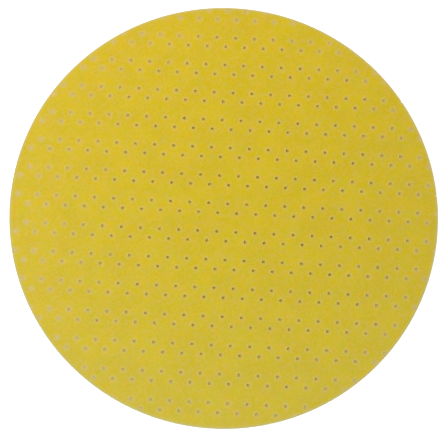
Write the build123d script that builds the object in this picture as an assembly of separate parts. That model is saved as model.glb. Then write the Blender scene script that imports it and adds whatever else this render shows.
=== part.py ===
from build123d import *
import math
import os

# A perforated sanding disc: coated paper on a loop pile, which the hooks of a sander's pad
# take hold of. The two are bonded in the roll, perforated together and stamped out round,
# so the disc is one piece. It lies on its pile, with the grain side up.

# Sizes in millimetres, angles in degrees
disc_diameter = 225.0
paper_thickness = 0.5    # with its coat of grain
pile_thickness = 0.8

hole_diameter = 1.5
hole_pitch = 10.0        # from hole to hole along a row
pair_spacing = 5.0       # between the two rows of a pair
gap_spacing = 10.0       # from the last row of a pair to the first of the next

# Where the round die met the perforated roll, seen from the grain side
row_slope = -2.8         # turn of the rows from the X axis
roll_shift_x = 6.3       # a hole that starts a row, from the disc's centre
roll_shift_y = -9.5

disc_radius = disc_diameter / 2
hole_radius = hole_diameter / 2
disc_thickness = paper_thickness + pile_thickness
graze = hole_diameter / 15    # a hole whose edge comes this near to the rim, on either side, is left out


def roll_holes():
    """Hole centres of the perforated roll, on a stretch that covers the disc."""
    roll = Location((roll_shift_x, roll_shift_y, 0), (0, 0, row_slope))
    period = pair_spacing + gap_spacing
    reach = disc_radius + roll.position.length + hole_diameter
    pairs = math.ceil(reach / period)
    steps = math.ceil(reach / hole_pitch)
    for pair in range(-pairs, pairs + 1):
        for row in (0, 1):
            # The rows of a pair are half a pitch out of step. Across the wider gap the
            # holes are in line.
            offset = (pair + row) % 2 / 2
            down = pair * period + row * pair_spacing
            for step in range(-steps, steps + 1):
                along = (step + offset) * hole_pitch
                yield (roll * Pos(along, -down, 0)).position


def stays_whole(centre):
    return centre.length + hole_radius < disc_radius - graze


def opens_in_rim(centre):
    reaches_out = centre.length + hole_radius > disc_radius + graze
    return reaches_out and centre.length - hole_radius < disc_radius - graze


def abrasive_disc():
    """The stamped sheet with its whole holes, and with those that the rim cuts through."""
    centres = list(roll_holes())
    outline = Circle(disc_radius)
    for centre in filter(opens_in_rim, centres):
        outline -= Pos(centre) * Circle(hole_radius)
    holes = [Wire.make_circle(hole_radius, Plane(centre)) for centre in filter(stays_whole, centres)]
    print("whole holes:", len(holes))
    sheet = Face(outline.face().outer_wire(), holes)
    return extrude(sheet, disc_thickness)


os.makedirs("parts", exist_ok=True)
export_step(abrasive_disc(), "parts/abrasive_disc.step")
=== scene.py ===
import math
import random

import bmesh
import bpy
from mathutils import Matrix, Vector


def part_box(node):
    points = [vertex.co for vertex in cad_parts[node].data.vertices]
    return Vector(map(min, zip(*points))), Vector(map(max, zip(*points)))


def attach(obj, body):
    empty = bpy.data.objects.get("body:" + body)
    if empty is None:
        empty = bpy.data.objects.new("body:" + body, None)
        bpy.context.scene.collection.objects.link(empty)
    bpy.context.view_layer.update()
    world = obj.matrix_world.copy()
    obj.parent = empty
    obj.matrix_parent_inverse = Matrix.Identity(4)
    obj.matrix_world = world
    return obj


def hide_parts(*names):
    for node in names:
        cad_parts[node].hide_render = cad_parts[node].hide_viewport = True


# A perforated sanding disc, lying on its loop pile with the grain side up. Lengths are in
# metres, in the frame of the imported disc.

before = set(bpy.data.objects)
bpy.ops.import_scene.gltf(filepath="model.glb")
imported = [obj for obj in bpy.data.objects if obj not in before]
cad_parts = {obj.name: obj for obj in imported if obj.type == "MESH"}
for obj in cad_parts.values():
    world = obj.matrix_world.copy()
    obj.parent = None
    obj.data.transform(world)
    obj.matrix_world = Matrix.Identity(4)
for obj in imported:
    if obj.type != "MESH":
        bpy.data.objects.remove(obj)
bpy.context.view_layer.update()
mm = 0.001
white = (1.0, 1.0, 1.0, 1.0)

discLow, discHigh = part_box("abrasive_disc")
discRadius = (discHigh.x - discLow.x) / 2
topHeight = discHigh.z

layers = {                     # thicknesses, from the top down
    "coat": 0.16 * mm,         # grain and its binder
    "paper": 0.34 * mm,
    "ground": 0.3 * mm,        # knitted ground of the loop fabric, with the loops under it
}
coatUnderside = topHeight - layers["coat"]
paperUnderside = coatUnderside - layers["paper"]
groundUnderside = paperUnderside - layers["ground"]


def plainMesh(name, points, faces=()):
    mesh = bpy.data.meshes.new(name)
    mesh.from_pydata(points, [], faces)
    return mesh


def addObject(name, data):
    thing = bpy.data.objects.new(name, data)
    bpy.context.scene.collection.objects.link(thing)
    return thing


# Node trees

class Wire:
    # An output socket. An expression on it adds Math nodes to its tree.
    def __init__(self, graph, socket):
        self.graph = graph
        self.socket = socket

    def math(self, operation, *values):
        return self.graph.add("ShaderNodeMath", {"operation": operation}, values)

    def __add__(self, other):
        return self.math("ADD", self, other)

    def __radd__(self, other):
        return self.math("ADD", other, self)

    def __sub__(self, other):
        return self.math("SUBTRACT", self, other)

    def __rsub__(self, other):
        return self.math("SUBTRACT", other, self)

    def __mul__(self, other):
        return self.math("MULTIPLY", self, other)

    def __rmul__(self, other):
        return self.math("MULTIPLY", other, self)

    def __truediv__(self, other):
        return self.math("DIVIDE", self, other)

    def __rtruediv__(self, other):
        return self.math("DIVIDE", other, self)

    def __mod__(self, other):
        return self.math("FLOORED_MODULO", self, other)

    def __pow__(self, other):
        return self.math("POWER", self, other)

    def __abs__(self):
        return self.math("ABSOLUTE", self)

    def above(self, other):
        return self.math("GREATER_THAN", self, other)

    def below(self, other):
        return self.math("LESS_THAN", self, other)

    def least(self, other):
        return self.math("MINIMUM", self, other)

    def most(self, other):
        return self.math("MAXIMUM", self, other)

    def between(self, low, high):
        # 0 up to low and 1 from high on, with a smooth step from one to the other. Where low
        # is the larger of the two, it runs the other way.
        return self.graph.add(
            "ShaderNodeMapRange", {"interpolation_type": "SMOOTHSTEP"},
            {"Value": self, "From Min": low, "From Max": high},
        )

    def beside(self, name):
        # Another output of the same node
        return Wire(self.graph, self.socket.node.outputs[name])


class Graph:
    # A shader tree or a Geometry Nodes tree, filled by its add method.
    def __init__(self, tree):
        self.tree = tree

    def add(self, kind, settings=None, sockets=(), output=0):
        node = self.tree.nodes.new(kind)
        for name, value in (settings or {}).items():
            setattr(node, name, value)
        pairs = sockets.items() if isinstance(sockets, dict) else enumerate(sockets)
        for key, value in pairs:
            if isinstance(value, Wire):
                self.tree.links.new(value.socket, node.inputs[key])
            else:
                node.inputs[key].default_value = value
        return Wire(self, node.outputs[output]) if node.outputs else None

    def join(self, x, y, z):
        return self.add("ShaderNodeCombineXYZ", None, [x, y, z])

    def split(self, vector):
        # The x, y and z of a vector
        parts = self.add("ShaderNodeSeparateXYZ", None, [vector])
        return [parts.beside(axis) for axis in "XYZ"]

    def cells(self, vector, size):
        # Packed grains: the distance from the middle of each, and a number that each has
        grains = self.add("ShaderNodeTexVoronoi", None, {"Vector": vector, "Scale": 1 / size})
        chance = self.add("ShaderNodeSeparateColor", None, [grains.beside("Color")])
        return grains, chance

    def noise(self, vector, size, seed, detail=2.0, roughness=0.5):
        # Soft noise around 0.5, with blotches of about the given size
        return self.add("ShaderNodeTexNoise", {"noise_dimensions": "4D"}, {
            "Vector": vector, "W": seed, "Scale": 1 / size, "Detail": detail, "Roughness": roughness,
        })

    def backgroundRays(self):
        # Three sockets: 1 for camera rays, for glossy rays and for rays through glass, else 0
        path = self.add("ShaderNodeLightPath")
        return [path.beside(name) for name in ("Is Camera Ray", "Is Glossy Ray", "Is Transmission Ray")]


# Perforation

perforation = {
    "pitch": 10 * mm,          # along a row
    "pairSpacing": 5 * mm,     # between the two rows of a pair
    "gapSpacing": 10 * mm,     # from one pair to the next
    "slope": math.radians(-2.8),
    "shiftX": 6.3 * mm,        # from the disc's centre to a hole that starts a row
    "shiftY": -9.5 * mm,
}

holeDepth = {                  # from the grain side down to the torn pile in a hole
    "centreX": 11 * mm,        # where the holes are deepest
    "centreY": 4 * mm,
    "spreadX": 113 * mm,       # from there to where they are shallow
    "spreadY": 137 * mm,
    "falloff": 0.75,           # below 1, deep holes reach further out
    "deep": 0.7 * mm,
    "shallow": 0.08 * mm,
    "rimBand": 10 * mm,        # along the rim, where deeper holes turn shallow
    "bandSlant": 0.6,          # share by which that band is wider at the top and narrower at the bottom
    "uneven": 0.07 * mm,
}


def holeCentres(reach):
    # The centres of the holes, out to the given distance from the middle of the disc
    period = perforation["pairSpacing"] + perforation["gapSpacing"]
    turn = Matrix.Rotation(perforation["slope"], 2)
    shift = Vector((perforation["shiftX"], perforation["shiftY"]))
    pairs = math.ceil(discRadius / period) + 1
    steps = math.ceil(discRadius / perforation["pitch"]) + 1
    centres = []
    for pair in range(-pairs, pairs + 1):
        for row in (0, 1):
            offset = (pair + row) % 2 / 2
            down = pair * period + row * perforation["pairSpacing"]
            for step in range(-steps, steps + 1):
                centre = shift + turn @ Vector(((step + offset) * perforation["pitch"], -down))
                if centre.length < reach:
                    centres.append(centre)
    return centres


def holeDistance(x, y):
    # From a point of the disc to the centre of its nearest hole, on the sockets of any tree.
    # The rows come again after two pairs, and the pattern is its own mirror image about the
    # middle of each gap: half a gap away a row that is out of step with the first one, and
    # a pair's spacing further a row that is in step with it.
    cosine = math.cos(perforation["slope"])
    sine = math.sin(perforation["slope"])
    pitch = perforation["pitch"]
    period = perforation["pairSpacing"] + perforation["gapSpacing"]
    outer = perforation["gapSpacing"] / 2 + perforation["pairSpacing"]
    inner = perforation["gapSpacing"] / 2
    fromX = x - perforation["shiftX"]
    fromY = y - perforation["shiftY"]
    along = fromX * cosine + fromY * sine
    down = fromX * sine - fromY * cosine
    fold = abs((down - outer + period) % (2 * period) - period)
    inStep = abs((along + pitch / 2) % pitch - pitch / 2)
    outOfStep = abs(along % pitch - pitch / 2)
    nearOuter = inStep ** 2 + (fold - outer) ** 2
    nearInner = outOfStep ** 2 + (fold - inner) ** 2
    return nearOuter.least(nearInner) ** 0.5


def middleShare(x, y):
    # 1 at the place where the holes are deepest, down to 0 or less near the rim
    across = (x - holeDepth["centreX"]) / holeDepth["spreadX"]
    up = (y - holeDepth["centreY"]) / holeDepth["spreadY"]
    return 1 - across ** 2 - up ** 2


# Materials

class Shade(Graph):
    # A material with one Principled shader.
    def __init__(self, name):
        self.material = bpy.data.materials.new(name)
        self.material.use_nodes = True
        self.material.node_tree.nodes.clear()
        super().__init__(self.material.node_tree)
        self.place = self.add("ShaderNodeTexCoord", None, (), "Object")

    def mix(self, factor, low, high):
        colours = {"Factor": factor, 6: low, 7: high}
        settings = {"data_type": "RGBA", "clamp_factor": True}
        return self.add("ShaderNodeMix", settings, colours, 2)

    def bump(self, height, depth):
        return self.add("ShaderNodeBump", None, {"Height": height, "Distance": depth, "Strength": 1.0})

    def finish(self, colour, roughness, gloss, normal=None):
        sockets = {"Base Color": colour, "Roughness": roughness, "Specular IOR Level": gloss}
        if normal:
            sockets["Normal"] = normal
        surface = self.add("ShaderNodeBsdfPrincipled", None, sockets)
        self.add("ShaderNodeOutputMaterial", None, {"Surface": surface})
        return self.material


def srgb(red, green, blue):
    # The linear colour of a screen colour given as 0 to 255
    channels = []
    for value in (red / 255, green / 255, blue / 255):
        channels.append(value / 12.92 if value <= 0.04045 else ((value + 0.055) / 1.055) ** 2.4)
    return (*channels, 1.0)


coatLook = {
    "warm": srgb(222, 189, 17),
    "cool": srgb(212, 192, 15),
    "hueSize": 4 * mm,
    "hueRange": (0.3, 0.7),            # of the noise, from one colour to the other
    "dark": srgb(140, 116, 18),        # painted shade between the grains and where the flecks sink, and darker broad patches
    "grainSize": 0.14 * mm,
    "grainRange": (0.25, 0.75),
    "grainShadow": 0.1,                # share of the dark colour
    "fleckSize": 0.8 * mm,
    "fleckRange": (0.65, 0.4),
    "fleckShadow": 0.05,
    "broadSize": 15 * mm,
    "broadWeights": (0.4, 0.6),        # of the flecks and of the broad noise in a patch
    "broadRange": (0.62, 0.38),
    "broadDarkening": 0.09,
    "pale": srgb(206, 179, 106),       # where the binder lies thin over the grain
    "thinSize": 2.2 * mm,
    "thinWeights": (0.48, 0.4, 0.12),  # of that noise, of the flecks and of the single grains
    "thinRange": (0.42, 0.68),
    "thinShare": 0.48,
    "bare": srgb(210, 186, 110),       # paper where the coat broke away round a hole
    "haloInner": 0.8 * mm,             # from a hole's centre to where it starts to heal
    "haloOuter": 2.5 * mm,             # and to where it is whole
    "haloFlecks": 0.9 * mm,            # how far flecks and single grains shift that ring's edge
    "haloGrains": 0.8 * mm,
    "haloShare": 0.78,                 # share of the bare colour where the holes are shallow
    "haloLess": 0.34,                  # and how much less it is where they are deepest
    "edge": srgb(199, 189, 128),       # paper where the coat is rubbed off along the rim
    "rimBare": 0.1 * mm,
    "rimWhole": 1.6 * mm,
    "rimRagged": 0.6 * mm,
    "rimShare": 0.7,
    "paintedSheen": 0.0095,                   # painted sheen: share of white, one radius from the place that has none
    "sheenlessX": 20 * mm,
    "sheenlessY": 60 * mm,
    "lowest": 0.4,                     # height of the lowest grain against the highest
    "grainRelief": 1.3,                # shares of the relief's depth
    "fleckRelief": 0.6,
    "knitRelief": 2.0,
    "reliefDepth": 0.045 * mm,
    "smoothest": 0.65,                 # roughness, from grain to grain
    "roughest": 0.9,
    "gloss": 0.12,
}

fabric = {
    "paper": srgb(220, 200, 158),      # the cut walls of the paper, in two tones
    "cut": srgb(196, 172, 124),
    "cutRange": (0.3, 0.7),
    "yarn": srgb(233, 226, 208),
    # darker colour in the grooves and seams of the knit: painted shade
    "groove": srgb(208, 198, 174),
    "wale": 0.8 * mm,                  # width of a column of stitches
    "course": 0.6 * mm,                # height of one stitch
    "slant": 0.7,                      # climb of a stitch's arms, of its height
    "yarnRange": (0.05, 0.85),         # from a groove to the yarn's top
    "seamRange": (0.7, 1.0),           # from the middle of a column to the seam beside it
    "seamDepth": 0.8,
    "stretch": 1.6 * mm,               # how far the stitches wander
}


def knitHeight(x, y):
    # Rows of V-shaped stitches, from 0 in the grooves to 1 on the yarn
    across = abs((x / fabric["wale"]) % 1.0 - 0.5) * 2
    ridge = 1 - abs(((y / fabric["course"] + across * fabric["slant"]) % 1.0) * 2 - 1)
    seam = across.between(*fabric["seamRange"]) * fabric["seamDepth"]
    return ridge.between(*fabric["yarnRange"]) * (1 - seam)


def makePaperMaterial():
    # Yellow coat on top, pale paper on the cut walls and knitted ground under it
    shade = Shade("coatedPaper")
    x, y, z = shade.split(shade.place)
    flecks = shade.noise(shade.place, coatLook["fleckSize"], seed=2.0, roughness=0.6)
    hue = shade.noise(shade.place, coatLook["hueSize"], seed=4.0, detail=3.0, roughness=0.6)
    thinness = shade.noise(shade.place, coatLook["thinSize"], seed=5.0, detail=3.0, roughness=0.65)
    broad = shade.noise(shade.place, coatLook["broadSize"], seed=6.0, detail=3.0)
    grain, chance = shade.cells(shade.place, coatLook["grainSize"])

    yellow = shade.mix(hue.between(*coatLook["hueRange"]), coatLook["cool"], coatLook["warm"])
    # Painted shade between the grains and in the hollows of the flecks, with darker broad patches at
    # random
    shadeAndPatches = grain.between(*coatLook["grainRange"]) * coatLook["grainShadow"]
    shadeAndPatches = shadeAndPatches + flecks.between(*coatLook["fleckRange"]) * coatLook["fleckShadow"]
    fleckPart, broadPart = coatLook["broadWeights"]
    patches = (flecks * fleckPart + broad * broadPart).between(*coatLook["broadRange"])
    shadeAndPatches = shadeAndPatches + patches * coatLook["broadDarkening"]
    shadedAndPatched = shade.mix(shadeAndPatches, yellow, coatLook["dark"])
    thinPart, fleckPart, grainPart = coatLook["thinWeights"]
    thin = thinness * thinPart + flecks * fleckPart + chance * grainPart
    thin = thin.between(*coatLook["thinRange"]) * coatLook["thinShare"]
    coated = shade.mix(thin, shadedAndPatched, coatLook["pale"])

    # Round the holes and along the rim whole grains are missing
    ragged = (flecks - 0.5) * coatLook["haloFlecks"] + (chance - 0.5) * coatLook["haloGrains"]
    healed = (holeDistance(x, y) + ragged).between(coatLook["haloInner"], coatLook["haloOuter"])
    bare = (1 - healed) * (coatLook["haloShare"] - coatLook["haloLess"] * middleShare(x, y))
    fromRim = discRadius - (x ** 2 + y ** 2) ** 0.5 + (flecks + chance - 1) * coatLook["rimRagged"]
    rubbed = 1 - fromRim.between(coatLook["rimBare"], coatLook["rimWhole"])
    worn = shade.mix(bare, coated, coatLook["bare"])
    worn = shade.mix(rubbed * coatLook["rimShare"], worn, coatLook["edge"])
    # Painted sheen: a white veil over the coat that grows with the square of the distance from one place
    fromSheenless = (x - coatLook["sheenlessX"]) ** 2 + (y - coatLook["sheenlessY"]) ** 2
    coat = shade.mix(fromSheenless * (coatLook["paintedSheen"] / discRadius ** 2), worn, white)

    # Under the coat
    knit = knitHeight(x + (hue - 0.5) * fabric["stretch"], y + (thinness - 0.5) * fabric["stretch"])
    # Painted shade: the knit is darker in its grooves and seams, by the same height that drives the bump
    ground = shade.mix(knit, fabric["groove"], fabric["yarn"])
    wall = shade.mix(flecks.between(*fabric["cutRange"]), fabric["paper"], fabric["cut"])
    inPaper = z.above(paperUnderside)
    inCoat = z.above(coatUnderside)
    colour = shade.mix(inCoat, shade.mix(inPaper, ground, wall), coat)

    crystals = (1 - grain) * (coatLook["lowest"] + chance * (1 - coatLook["lowest"]))
    height = inCoat * crystals * coatLook["grainRelief"] + flecks * coatLook["fleckRelief"]
    height = height + (1 - inPaper) * knit * coatLook["knitRelief"]
    relief = shade.bump(height, coatLook["reliefDepth"])
    roughness = coatLook["smoothest"] + chance * (coatLook["roughest"] - coatLook["smoothest"])
    return shade.finish(colour, roughness, coatLook["gloss"], relief)


yarnLook = {
    "light": srgb(238, 232, 216),
    "dark": srgb(214, 203, 178),
    "toneSize": 0.8 * mm,
    "toneRange": (0.35, 0.7),
    "reliefDepth": 0.04 * mm,
    "roughness": 0.85,
    "gloss": 0.15,
}


def makeYarnMaterial():
    shade = Shade("loopYarn")
    strands = shade.noise(shade.place, yarnLook["toneSize"], seed=8.0, detail=3.0, roughness=0.6)
    colour = shade.mix(strands.between(*yarnLook["toneRange"]), yarnLook["light"], yarnLook["dark"])
    relief = shade.bump(strands, yarnLook["reliefDepth"])
    return shade.finish(colour, yarnLook["roughness"], yarnLook["gloss"], relief)


tuftLook = {
    "pale": (srgb(234, 214, 156), srgb(208, 186, 122)),      # near the grain side, light and dark; dark by the strands' tone and, as painted shade, towards a hole's middle
    "deepShade": (srgb(224, 197, 62), srgb(180, 152, 32)),      # painted shade: darker and yellower deep in a hole
    "torn": (srgb(230, 221, 198), srgb(166, 148, 108)),      # yarn and paper on the back; the dark one is painted shade towards a hole's middle
    "strandSize": 0.3 * mm,
    "strandRange": (0.35, 0.65),
    "centreRange": (0.8 * mm, 0.2 * mm),    # from a hole's centre, where painted shade turns the fibres dark
    "centreWeight": 0.6,                    # of that against the strands' own tone
    "centreWeightBack": 0.75,
    "paleDepth": 0.1 * mm,                  # under the grain side
    # depth under the grain side at which the painted shade deep in a hole is full
    "fullShadeDepth": 0.8 * mm,
    "facing": (-0.5, 0.3),                  # upward part of the normal, from torn to clean
    "reliefDepth": 0.05 * mm,
    "roughness": 0.9,
    "gloss": 0.12,
}


def makeTuftMaterial():
    shade = Shade("holeFibre")
    x, y, z = shade.split(shade.place)
    strands = shade.noise(shade.place, tuftLook["strandSize"], seed=9.0, detail=3.0, roughness=0.6)
    dark = strands.between(*tuftLook["strandRange"])
    # Painted shade: the fibres darken towards a hole's middle, mixed with the strands' own tone
    centre = holeDistance(x, y).between(*tuftLook["centreRange"])
    tone = centre * tuftLook["centreWeight"] + dark * (1 - tuftLook["centreWeight"])
    # On the back, painted shade darkens the fibres towards a hole's middle more strongly
    toneBack = centre * tuftLook["centreWeightBack"] + dark * (1 - tuftLook["centreWeightBack"])
    normal = shade.add("ShaderNodeNewGeometry").beside("Normal")
    upward = shade.split(normal)[2].between(*tuftLook["facing"])
    # Painted shade: the fibres turn darker and yellower the deeper they lie in a hole
    deep = 1 - z.between(topHeight - tuftLook["fullShadeDepth"], topHeight - tuftLook["paleDepth"])
    clean = shade.mix(deep, shade.mix(tone, *tuftLook["pale"]), shade.mix(tone, *tuftLook["deepShade"]))
    colour = shade.mix(upward, shade.mix(toneBack, *tuftLook["torn"]), clean)
    relief = shade.bump(strands, tuftLook["reliefDepth"])
    return shade.finish(colour, tuftLook["roughness"], tuftLook["gloss"], relief)


grainLook = {
    "light": srgb(228, 204, 70),
    "dark": srgb(204, 176, 40),
    "toneSize": 0.6 * mm,
    "toneRange": (0.4, 0.6),
    "roughness": 0.45,
    "gloss": 0.3,
}


def makeGrainMaterial():
    shade = Shade("proudGrain")
    tone = shade.noise(shade.place, grainLook["toneSize"], seed=10.0, detail=1.0)
    colour = shade.mix(tone.between(*grainLook["toneRange"]), grainLook["light"], grainLook["dark"])
    return shade.finish(colour, grainLook["roughness"], grainLook["gloss"])


print("materials")
paperMaterial = makePaperMaterial()
pileMaterial = makeYarnMaterial()
tuftMaterial = makeTuftMaterial()
grainMaterial = makeGrainMaterial()


# Geometry Nodes

socketKinds = {float: "NodeSocketFloat", int: "NodeSocketInt"}


class Builder(Graph):
    # A Geometry Nodes tree with one named input for each of a piece's settings.
    def __init__(self, name, settings, material):
        super().__init__(bpy.data.node_groups.new(name, "GeometryNodeTree"))
        self.name = name
        self.values = {}
        interface = self.tree.interface
        interface.new_socket("Geometry", in_out="OUTPUT", socket_type="NodeSocketGeometry")
        interface.new_socket("Geometry", in_out="INPUT", socket_type="NodeSocketGeometry")
        for key, value in dict(settings, material=material).items():
            kind = socketKinds.get(type(value), "NodeSocketMaterial")
            socket = interface.new_socket(key, in_out="INPUT", socket_type=kind)
            self.values[socket.identifier] = value
        node = self.tree.nodes.new("NodeGroupInput")
        self.given = {socket.name: Wire(self, socket) for socket in node.outputs if socket.name}
        self.base = self.given["Geometry"]

    def position(self):
        # The x, y and z of each corner, point or instance that the next node works on
        return self.split(self.add("GeometryNodeInputPosition"))

    def random(self, low, high, seed):
        # A number between low and high for each point or instance
        sockets = {2: low, 3: high, "Seed": seed}
        return self.add("FunctionNodeRandomValue", {"data_type": "FLOAT"}, sockets, 1)

    def eitherWay(self, reach, seed):
        return self.random(reach * -1, reach, seed)

    def anyTurn(self, seed):
        return self.random(0.0, 2 * math.pi, seed)

    def scaled(self, vector, amount):
        return self.add("ShaderNodeVectorMath", {"operation": "SCALE"}, {0: vector, "Scale": amount})

    def tube(self, path, radius, sides):
        circle = {"Resolution": sides, "Radius": radius}
        profile = self.add("GeometryNodeCurvePrimitiveCircle", None, circle)
        sockets = {"Curve": path, "Profile Curve": profile, "Fill Caps": True}
        return self.add("GeometryNodeCurveToMesh", None, sockets)

    def arc(self, start, middle, end, steps):
        # A curve that passes half way between its middle point and the line of its ends
        sockets = {"Resolution": steps, "Start": start, "Middle": middle, "End": end}
        return self.add("GeometryNodeCurveQuadraticBezier", None, sockets)

    def together(self, *shapes):
        joined = self.tree.nodes.new("GeometryNodeJoinGeometry")
        for shape in shapes:
            self.tree.links.new(shape.socket, joined.inputs[0])
        return Wire(self, joined.outputs[0])

    def place(self, points, shape, rotation, scale, selection=None):
        sockets = {"Points": points, "Instance": shape, "Rotation": rotation, "Scale": scale}
        if selection:
            sockets["Selection"] = selection
        return self.add("GeometryNodeInstanceOnPoints", None, sockets)

    def roughen(self, instances, size, amount):
        # Moves every corner a little, so that no two instances stay alike
        plain = self.add("GeometryNodeRealizeInstances", None, {"Geometry": instances})
        position = self.add("GeometryNodeInputPosition")
        noise = {"Vector": position, "Scale": 1 / size, "Detail": 1.0}
        wobble = self.add("ShaderNodeTexNoise", None, noise, "Color")
        around = {0: wobble, 1: (0.5, 0.5, 0.5)}
        centred = self.add("ShaderNodeVectorMath", {"operation": "SUBTRACT"}, around)
        moved = {"Geometry": plain, "Offset": self.scaled(centred, amount)}
        return self.add("GeometryNodeSetPosition", None, moved)

    def lower(self, shape):
        # From the floor's height to the underside of the knitted ground, where loops begin
        down = {"Geometry": shape, "Translation": self.join(0.0, 0.0, groundUnderside)}
        return self.add("GeometryNodeTransform", None, down)

    def confine(self, instances, radius):
        # Presses in what stands out past a radius, and flattens on the floor what hangs below it
        plain = self.add("GeometryNodeRealizeInstances", None, {"Geometry": instances})
        x, y, z = self.position()
        squeeze = (radius / (x ** 2 + y ** 2) ** 0.5).least(1.0)
        pressed = self.join(x * squeeze, y * squeeze, z.most(0.0))
        return self.add("GeometryNodeSetPosition", None, {"Geometry": plain, "Position": pressed})

    def make(self, geometry, baseMesh, smooth=True):
        # Ends the tree, runs it on the base mesh and keeps its result as a plain mesh
        shading = {"Geometry": geometry, "Shade Smooth": smooth}
        shaded = self.add("GeometryNodeSetShadeSmooth", None, shading)
        plain = self.add("GeometryNodeRealizeInstances", None, {"Geometry": shaded})
        dressing = {"Geometry": plain, "Material": self.given["material"]}
        finished = self.add("GeometryNodeSetMaterial", None, dressing)
        output = self.tree.nodes.new("NodeGroupOutput")
        self.tree.links.new(finished.socket, output.inputs[0])
        source = addObject(self.name + "Source", baseMesh)
        modifier = source.modifiers.new(self.name, "NODES")
        modifier.node_group = self.tree
        for identifier, value in self.values.items():
            modifier[identifier] = value
        depsgraph = bpy.context.evaluated_depsgraph_get()
        mesh = bpy.data.meshes.new_from_object(source.evaluated_get(depsgraph))
        source.modifiers.remove(modifier)
        bpy.data.objects.remove(source)
        mesh.name = self.name
        print(self.name, "triangles:", sum(len(face.vertices) - 2 for face in mesh.polygons))
        return addObject(self.name, mesh)


def keepPiece(piece):
    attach(piece, "root")


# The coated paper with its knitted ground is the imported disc's own mesh, whose underside is
# raised to where the loops begin

weldDistance = 0.001 * mm


def makePaper():
    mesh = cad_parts["abrasive_disc"].data.copy()
    mesh.name = "coatedPaper"
    shape = bmesh.new()
    shape.from_mesh(mesh)
    bmesh.ops.remove_doubles(shape, verts=shape.verts, dist=weldDistance)
    for vertex in shape.verts:
        if vertex.co.z < topHeight / 2:
            vertex.co.z = groundUnderside
    for face in shape.faces:
        face.smooth = False
    shape.to_mesh(mesh)
    shape.free()
    mesh.materials.clear()
    mesh.materials.append(paperMaterial)
    return addObject("coatedPaper", mesh)


print("paper")
paper = makePaper()
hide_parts("abrasive_disc")
keepPiece(paper)


# Burrs: the low lip of coated paper that the punch pushed up round each hole

burr = {
    "ringRadius": 0.96 * mm,
    "halfWidth": 0.25 * mm,
    "rise": 0.3,               # height of the lip's section against its width
    "sunk": 0.03 * mm,         # its middle line under the face of the coat
    "smallest": 0.97,          # sizes across, of the ring's radius
    "largest": 1.05,
    "uneven": 0.07 * mm,
    "wobbleSize": 0.5 * mm,
    "fromRim": 1.2 * mm,       # holes with their centres nearer to the rim have none
    "segments": 11,
    "sides": 6,
    "seed": 3,
}


def makeBurrs():
    nodes = Builder("punchBurrs", burr, paperMaterial)
    given = nodes.given
    circle = {"Resolution": given["segments"], "Radius": given["ringRadius"]}
    path = nodes.add("GeometryNodeCurvePrimitiveCircle", None, circle)
    ring = nodes.tube(path, given["halfWidth"], given["sides"])
    turn = nodes.join(0.0, 0.0, nodes.anyTurn(given["seed"]))
    wide = nodes.random(given["smallest"], given["largest"], given["seed"] + 1)
    long = nodes.random(given["smallest"], given["largest"], given["seed"] + 2)
    rings = nodes.place(nodes.base, ring, turn, nodes.join(wide, long, given["rise"]))
    holes = holeCentres(discRadius - burr["fromRim"])
    base = plainMesh("holePoints", [(hole.x, hole.y, topHeight - burr["sunk"]) for hole in holes])
    return nodes.make(nodes.roughen(rings, given["wobbleSize"], given["uneven"]), base)


print("burrs")
keepPiece(makeBurrs())


# Tufts: felted pile that fills each hole, low in the middle of the disc and high at its rim

tuft = {
    "radius": 0.8 * mm,
    "corners": 9,
    "bottom": 0.5 * mm,        # height of a tuft's underside over the floor
    "thinnest": 0.12 * mm,
    "dish": 0.4,               # how far a tuft is drawn in at its middle, of its thickness
    "uneven": 0.12 * mm,
    "wobbleSize": 0.4 * mm,
    "fibreRadius": 0.027 * mm,
    "fibreLength": 0.9 * mm,
    "shortest": 0.6,           # of that length
    "fibreSkew": 0.2,          # the middle of a fibre's arc, in halves of its length: along it,
    "fibreBow": 0.5,           # to the side
    "fibreLift": 0.4,          # and up
    "fibreLean": 0.3,          # in radians, either way
    "fibreSteps": 2,
    "fibreSides": 3,
    "fibreDensity": 3.2e6,     # to the square metre of tuft
    "flat": 0.6,               # faces with less of their normal upright have no fibres
    "pastRim": 0.3 * mm,       # tufts in the holes that the rim cuts open
    "underRim": 0.02 * mm,     # how far inside the rim they are cut
    "seed": 11,
}


def tuftMesh():
    # One point at the underside of each tuft, which also keeps how thick the tuft is
    chance = random.Random(tuft["seed"])
    feet = []
    thicknesses = []
    for centre in holeCentres(discRadius + tuft["pastRim"]):
        band = holeDepth["rimBand"] * (1 + holeDepth["bandSlant"] * centre.y / discRadius)
        rimShare = min(1.0, max(0.0, (discRadius - centre.length) / band))
        share = max(0.0, middleShare(centre.x, centre.y)) ** holeDepth["falloff"] * rimShare
        depth = holeDepth["shallow"] + share * (holeDepth["deep"] - holeDepth["shallow"])
        top = topHeight - depth - chance.uniform(-1, 1) * share * holeDepth["uneven"]
        bottom = min(tuft["bottom"], top - tuft["thinnest"])
        feet.append((centre.x, centre.y, bottom))
        thicknesses.append(top - bottom)
    mesh = plainMesh("tuftPoints", feet)
    mesh.attributes.new("thickness", "FLOAT", "POINT").data.foreach_set("value", thicknesses)
    return mesh


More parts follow.
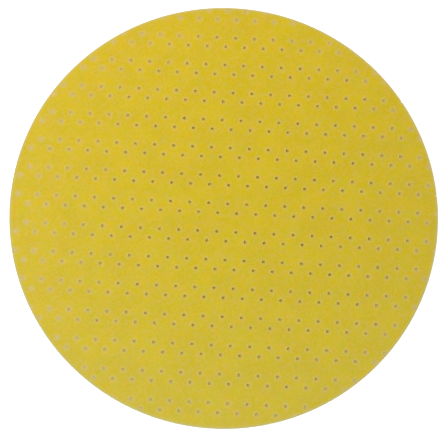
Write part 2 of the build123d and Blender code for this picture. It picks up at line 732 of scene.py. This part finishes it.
def tuftPlugs(nodes):
    # A dished plug of each tuft's own thickness, with an uneven surface
    given = nodes.given
    plug = nodes.add("GeometryNodeMeshCylinder", {"fill_type": "TRIANGLE_FAN"}, {
        "Vertices": given["corners"], "Side Segments": 1, "Fill Segments": 2,
        "Radius": given["radius"], "Depth": 1.0,
    })
    x, y, z = nodes.position()
    drawnIn = 1 - given["dish"] * (1 - (x ** 2 + y ** 2) / given["radius"] ** 2)
    stood = {"Geometry": plug, "Position": nodes.join(x, y, 0.5 + z * drawnIn)}
    dished = nodes.add("GeometryNodeSetPosition", None, stood)
    named = {"Name": "thickness"}
    thickness = nodes.add("GeometryNodeInputNamedAttribute", {"data_type": "FLOAT"}, named)
    turn = nodes.join(0.0, 0.0, nodes.anyTurn(given["seed"]))
    standing = nodes.place(nodes.base, dished, turn, nodes.join(1.0, 1.0, thickness))
    return nodes.roughen(standing, given["wobbleSize"], given["uneven"])


def tuftFibres(nodes, plugs):
    # Bowed fibres that lie loose on both ends of the plugs
    given = nodes.given
    flat = abs(nodes.split(nodes.add("GeometryNodeInputNormal"))[2]).above(given["flat"])
    scatter = {
        "Mesh": plugs, "Density": given["fibreDensity"], "Seed": given["seed"] + 1, "Selection": flat,
    }
    points = nodes.add("GeometryNodeDistributePointsOnFaces", {"distribute_method": "RANDOM"}, scatter)
    below = nodes.split(points.beside("Normal"))[2].below(0.0)
    half = given["fibreLength"] * 0.5
    middle = nodes.join(half * given["fibreSkew"], half * given["fibreBow"], half * given["fibreLift"])
    start = nodes.join(half * -1, 0.0, 0.0)
    path = nodes.arc(start, middle, nodes.join(half, 0.0, 0.0), given["fibreSteps"])
    fibre = nodes.tube(path, given["fibreRadius"], given["fibreSides"])
    lean = nodes.join(nodes.eitherWay(given["fibreLean"], given["seed"] + 2) + below * math.pi,
                      nodes.eitherWay(given["fibreLean"], given["seed"] + 3),
                      nodes.anyTurn(given["seed"] + 4))
    return nodes.place(points, fibre, lean, nodes.random(given["shortest"], 1.0, given["seed"] + 5))


def makeTufts():
    nodes = Builder("holeTufts", tuft, tuftMaterial)
    plugs = tuftPlugs(nodes)
    tufts = nodes.together(plugs, tuftFibres(nodes, plugs))
    return nodes.make(nodes.confine(tufts, discRadius - tuft["underRim"]), tuftMesh())


print("tufts")
keepPiece(makeTufts())


# Loop pile on the underside: long loops that the disc rests on, and shorter ones between them

longLoops = {
    "pitch": 1.95 * mm,        # along a row
    "rowSpacing": 2.05 * mm,
    "scatter": 0.5 * mm,
    "width": 1.6 * mm,
    "drop": 0.36 * mm,         # from the ground to the yarn's middle line at the foot of a loop
    "root": 0.05 * mm,         # how far a loop's ends reach up into the ground
    "skew": 0.3,               # the foot's place, in halves of the width: along the loop
    "bulge": 0.6,              # and to the side
    "steps": 3,
    "yarnRadius": 0.15 * mm,
    "yarnSides": 3,
    "smallest": 0.8,
    "lean": 0.3,               # in radians, either way
    "turn": 0.9,
    "clear": 1.2 * mm,         # from a hole's centre to the nearest loop
    "fromRim": 1.0 * mm,
    "seed": 21,
}

shortLoops = dict(
    longLoops,
    pitch=2.0 * mm,
    rowSpacing=2.0 * mm,
    scatter=0.9 * mm,
    width=1.3 * mm,
    drop=0.24 * mm,
    clear=1.1 * mm,
    seed=25,
)


def makeLoops(name, loops):
    nodes = Builder(name, loops, pileMaterial)
    given = nodes.given
    span = 2 * discRadius
    grid = nodes.add("GeometryNodeMeshGrid", None, {
        "Size X": span, "Size Y": span,
        "Vertices X": span / given["pitch"], "Vertices Y": span / given["rowSpacing"],
    })
    astray = nodes.join(nodes.eitherWay(1.0, given["seed"]), nodes.eitherWay(1.0, given["seed"] + 1), 0.0)
    shifted = {"Geometry": grid, "Offset": nodes.scaled(astray, given["scatter"])}
    points = nodes.add("GeometryNodeSetPosition", None, shifted)
    half = given["width"] * 0.5
    start = nodes.join(half * -1, 0.0, given["root"])
    middle = nodes.join(half * given["skew"], half * given["bulge"], given["drop"] * -2)
    path = nodes.arc(start, middle, nodes.join(half, 0.0, given["root"]), given["steps"])
    loop = nodes.tube(path, given["yarnRadius"], given["yarnSides"])
    x, y = nodes.position()[:2]
    inside = (x ** 2 + y ** 2).below((discRadius - loops["fromRim"]) ** 2)
    clear = holeDistance(x, y).above(given["clear"])
    turn = nodes.join(nodes.eitherWay(given["lean"], given["seed"] + 2), 0.0,
                      nodes.eitherWay(given["turn"], given["seed"] + 3))
    size = nodes.random(given["smallest"], 1.0, given["seed"] + 4)
    hanging = nodes.lower(nodes.place(points, loop, turn, size, inside * clear))
    return nodes.make(nodes.confine(hanging, discRadius), plainMesh("pileGround", [(0, 0, 0)]))


print("loop pile")
keepPiece(makeLoops("loopPile", longLoops))
keepPiece(makeLoops("shortPile", shortLoops))


# Cut yarn ends along the rim

fringe = {
    "inset": 0.32 * mm,        # from the rim to the roots of the ends
    "spacing": 0.42 * mm,
    "pathCorners": 96,         # of the circle that the roots lie on
    "length": 0.46 * mm,
    "root": 0.05 * mm,         # how far an end reaches up into the ground
    "kneeOut": 0.08 * mm,      # the middle of an end's arc, outwards
    "kneeDown": 0.6,           # and down, of the length
    "tipOut": 0.26 * mm,
    "tipAside": 0.05 * mm,
    "tipDown": 0.9,
    "steps": 3,
    "yarnRadius": 0.09 * mm,
    "yarnSides": 3,
    "shortest": 0.75,
    "lean": 0.3,               # in radians, either way
    "splay": 0.8,
    "seed": 31,
}


def makeFringe():
    nodes = Builder("rimFringe", fringe, pileMaterial)
    given = nodes.given
    ring = {"Resolution": given["pathCorners"], "Radius": discRadius - given["inset"]}
    circle = nodes.add("GeometryNodeCurvePrimitiveCircle", None, ring)
    count = 2 * math.pi * discRadius / given["spacing"]
    along = nodes.add("GeometryNodeResampleCurve", None, {"Curve": circle, "Count": count})
    points = nodes.add("GeometryNodeCurveToPoints", {"mode": "EVALUATED"}, {"Curve": along})
    length = given["length"]
    start = nodes.join(0.0, 0.0, given["root"])
    knee = nodes.join(given["kneeOut"], 0.0, length * given["kneeDown"] * -1)
    tip = nodes.join(given["tipOut"], given["tipAside"], length * given["tipDown"] * -1)
    end = nodes.tube(nodes.arc(start, knee, tip, given["steps"]), given["yarnRadius"], given["yarnSides"])
    x, y = nodes.position()[:2]
    outward = nodes.add("ShaderNodeMath", {"operation": "ARCTAN2"}, [y, x])
    turn = nodes.join(0.0, nodes.eitherWay(given["lean"], given["seed"]),
                      outward + nodes.eitherWay(given["splay"], given["seed"] + 1))
    size = nodes.random(given["shortest"], 1.0, given["seed"] + 2)
    ends = nodes.lower(nodes.place(points, end, turn, size))
    return nodes.make(nodes.confine(ends, discRadius), plainMesh("rimPoint", [(0, 0, 0)]))


print("fringe")
keepPiece(makeFringe())


# Coarse grains that stand out of the coat

grit = {
    "density": 0.6e6,          # grains to the square metre
    "size": 0.12 * mm,
    "smallest": 0.5,           # of that size
    "corners": 3,
    "lean": 1.2,               # in radians, either way
    "sunk": 0.02 * mm,
    "clear": 1.3 * mm,         # from a hole's centre to the nearest grain
    "fromRim": 0.4 * mm,
    "faceCorners": 96,         # of the round face that they are scattered over
    "seed": 5,
}


def coatFace():
    radius = discRadius - grit["fromRim"]
    turns = [2 * math.pi * corner / grit["faceCorners"] for corner in range(grit["faceCorners"])]
    rim = [(radius * math.cos(turn), radius * math.sin(turn), topHeight - grit["sunk"]) for turn in turns]
    return plainMesh("coatFace", rim, [list(range(grit["faceCorners"]))])


def makeGrains():
    nodes = Builder("proudGrains", grit, grainMaterial)
    given = nodes.given
    scatter = {"Mesh": nodes.base, "Density": given["density"], "Seed": given["seed"]}
    points = nodes.add("GeometryNodeDistributePointsOnFaces", {"distribute_method": "RANDOM"}, scatter)
    crystal = nodes.add("GeometryNodeMeshCone", {"fill_type": "NGON"}, {
        "Vertices": given["corners"], "Radius Top": 0.0, "Radius Bottom": given["size"],
        "Depth": given["size"],
    })
    x, y = nodes.position()[:2]
    clear = holeDistance(x, y).above(given["clear"])
    turn = nodes.join(nodes.eitherWay(given["lean"], given["seed"] + 1),
                      nodes.eitherWay(given["lean"], given["seed"] + 2),
                      nodes.anyTurn(given["seed"] + 3))
    size = nodes.random(given["smallest"], 1.0, given["seed"] + 4)
    grains = nodes.place(points, crystal, turn, size, clear)
    return nodes.make(grains, coatFace(), smooth=False)


print("grains")
keepPiece(makeGrains())


# Floor, light and camera

stage = {
    "floorSize": 8.0,
    "floorColour": (0.8, 0.8, 0.8, 1.0),
    "floorRoughness": 0.9,
    "whiten": 0.6,             # added to what the camera sees of the floor, outside the disc
    "whitenFar": 0.4,          # and this much more a long way from the lamps
    "farRange": (0.4, 1.6),    # from where that begins to where it is whole
    "whiteInset": 1.5 * mm,    # how far that white reaches in under the rim
    "openPast": 3 * mm,        # how far past the rim the floor lets the lamp under it through
    "worldLight": 0.33,
}

lamps = {
    "window": {"place": (-0.17, 0.29, 0.46), "size": 0.6, "power": 2.7, "colour": (1.0, 0.82, 0.66)},
    "reflector": {"place": (-0.12, -0.39, 0.5), "size": 0.6, "power": 2.3, "colour": (0.6, 0.88, 1.0)},
    "underside": {"place": (0.1, -0.2, -0.7), "size": 1.0, "power": 9.0, "colour": (1.0, 1.0, 1.0)},
}


def makeFloor():
    side = stage["floorSize"] / 2
    corners = [(-side, -side, 0), (side, -side, 0), (side, side, 0), (-side, side, 0)]
    floor = addObject("floor", plainMesh("floor", corners, [(0, 1, 2, 3)]))
    shade = Shade("floor")
    x, y = shade.split(shade.place)[:2]
    camera, glossy, through = shade.backgroundRays()
    away = (x ** 2 + y ** 2) ** 0.5
    beyond = away.above(discRadius - stage["whiteInset"])
    glow = stage["whiten"] + stage["whitenFar"] * away.between(*stage["farRange"])
    surface = shade.add("ShaderNodeBsdfPrincipled", None, {
        "Base Color": stage["floorColour"], "Roughness": stage["floorRoughness"],
        "Specular IOR Level": 0.0, "Emission Color": white,
        "Emission Strength": (camera + glossy + through) * beyond * glow,
    })
    # Nothing is there for a look from below, nor under and just round the disc for any ray but
    # the camera's, so that the lamp below reaches the pile up to its edge
    fromBelow = shade.add("ShaderNodeNewGeometry").beside("Backfacing")
    clearOfRim = away.above(discRadius + stage["openPast"])
    solid = (1 - fromBelow) * (1 - (1 - camera) * (1 - clearOfRim))
    clear = shade.add("ShaderNodeBsdfTransparent")
    both = shade.add("ShaderNodeMixShader", None, {0: solid, 1: clear, 2: surface})
    shade.add("ShaderNodeOutputMaterial", None, {"Surface": both})
    floor.data.materials.append(shade.material)


def makeLight():
    world = bpy.data.worlds.new("studio")
    bpy.context.scene.world = world
    world.use_nodes = True
    world.node_tree.nodes.clear()
    sky = Graph(world.node_tree)
    seen = sum(sky.backgroundRays())
    strength = stage["worldLight"] + seen * (1 - stage["worldLight"])
    pale = sky.add("ShaderNodeBackground", None, {"Color": white, "Strength": strength})
    sky.add("ShaderNodeOutputWorld", None, {"Surface": pale})
    for name, lamp in lamps.items():
        light = bpy.data.lights.new(name, "AREA")
        light.size = lamp["size"]
        light.energy = lamp["power"]
        light.color = lamp["colour"]
        fixture = addObject(name, light)
        fixture.location = lamp["place"]
        fixture.rotation_euler = (-Vector(lamp["place"])).to_track_quat("-Z", "Y").to_euler()
        fixture.visible_camera = False


view = {
    "place": (-0.0145, -0.2242, 1.1521),
    "turn": (10.886, -0.699, -0.067),    # degrees about X, Y and Z, from looking straight down
    "focal": 5.0,                        # focal length against the picture's width
    "sensor": 36.0,
}


def makeCamera():
    lens = bpy.data.cameras.new("camera")
    lens.sensor_width = view["sensor"]
    lens.lens = view["sensor"] * view["focal"]
    camera = addObject("camera", lens)
    camera.location = view["place"]
    camera.rotation_euler = [math.radians(angle) for angle in view["turn"]]
    bpy.context.scene.camera = camera


print("stage")
makeFloor()
makeLight()
makeCamera()
bpy.context.scene.view_settings.view_transform = "Standard"
